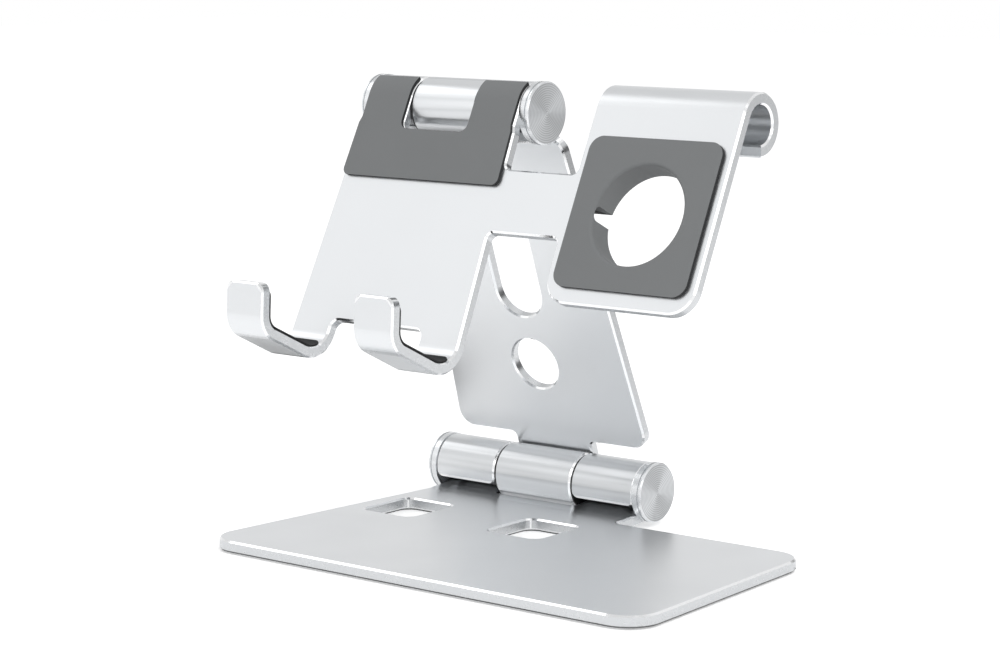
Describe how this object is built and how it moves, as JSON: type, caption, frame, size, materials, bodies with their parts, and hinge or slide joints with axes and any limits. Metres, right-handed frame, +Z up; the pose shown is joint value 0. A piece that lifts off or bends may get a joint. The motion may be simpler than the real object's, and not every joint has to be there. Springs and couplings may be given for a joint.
{
  "type": "folding phone and smartwatch charging stand",
  "caption": "Folding aluminium desk stand: flat base, leaning arm, and a cradle with hooks for a phone and a round seat for a watch charger.",
  "frame": {"origin": "centre of the base's footprint, on the table", "axes": "+Z up, +X to the right seen from the front, +Y to the rear, away from the cradle"},
  "size_m": [0.1488, 0.1145, 0.1306],
  "materials": {
    "sheet": "satin anodised, bright chamfered edges",
    "turned": "turned and polished",
    "silicone": "matt grey silicone",
    "liner": "matt dark silicone",
    "steel": "plain",
    "sleeve": "moulded"
  },
  "bodies": {
    "base": {"base_plate": "sheet", "base_mat": "silicone", "lower_axle": "steel", "lower_nut": "steel", "lower_spring_washers": "steel", "lower_sleeve_left": "sleeve", "lower_sleeve_right": "sleeve", "lower_washer_left": "sleeve", "lower_washer_right": "sleeve", "lower_cap_left": "turned", "lower_cap_right": "turned"},
    "arm": {"arm": "sheet", "lower_sleeve_centre": "sleeve", "upper_sleeve_centre": "sleeve"},
    "cradle": {"cradle": "sheet", "phone_pad": "silicone", "watch_pad": "silicone", "hook_liner_left": "liner", "hook_liner_right": "liner", "upper_axle": "steel", "upper_nut": "steel", "upper_spring_washers": "steel", "upper_sleeve_left": "sleeve", "upper_sleeve_right": "sleeve", "upper_washer_left": "sleeve", "upper_washer_right": "sleeve", "upper_cap_left": "turned", "upper_cap_right": "turned"}
  },
  "joints": [
    {"name": "lower_hinge", "type": "hinge", "parent": "base", "child": "arm", "pos_m": [-0.0325, 0.06013, 0.01016], "axis": [1, 0, 0], "range_deg": [-90, 28]},
    {"name": "upper_hinge", "type": "hinge", "parent": "arm", "child": "cradle", "pos_m": [-0.0325, 0.01965, 0.12185], "axis": [1, 0, 0], "range_deg": [-130, 45]}
  ]
}
